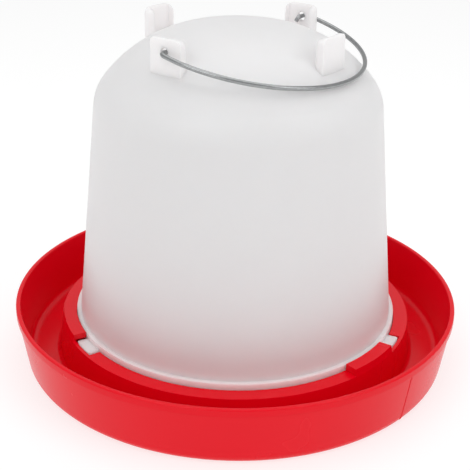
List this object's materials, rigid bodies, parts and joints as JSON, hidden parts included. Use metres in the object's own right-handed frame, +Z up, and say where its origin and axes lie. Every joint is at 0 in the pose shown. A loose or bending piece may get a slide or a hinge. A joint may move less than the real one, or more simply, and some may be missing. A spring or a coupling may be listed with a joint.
{
  "type": "poultry waterer fount",
  "caption": "Domed translucent tank standing mouth down in a round drinking trough, with bayonet tabs, standing lugs and a swinging wire bail.",
  "frame": {"origin": "on the ground at the centre of the trough base", "axes": "+Z up along the axis of the tank; X along the bail's pivot axis; the bail lies towards -Y at rest"},
  "size_m": [0.364, 0.364, 0.2755],
  "materials": {
    "red_plastic": "glossy injection-moulded polypropylene, red",
    "white_plastic": "satin injection-moulded natural polypropylene, milky and slightly see-through",
    "galvanised_wire": "drawn steel wire, zinc plated"
  },
  "bodies": {
    "base": {"trough_base": "red_plastic"},
    "tank": {"fount": "white_plastic"},
    "bail": {"bail_handle": "galvanised_wire"}
  },
  "joints": [
    {"name": "tank_lift", "type": "slide", "parent": "base", "child": "tank", "axis": [0, 0, 1], "range_m": [0, 0.08]},
    {"name": "bail_swing", "type": "hinge", "parent": "tank", "child": "bail", "pos_m": [0, 0, 0.2655], "axis": [-1, 0, 0], "range_deg": [0, 204.8]}
  ]
}
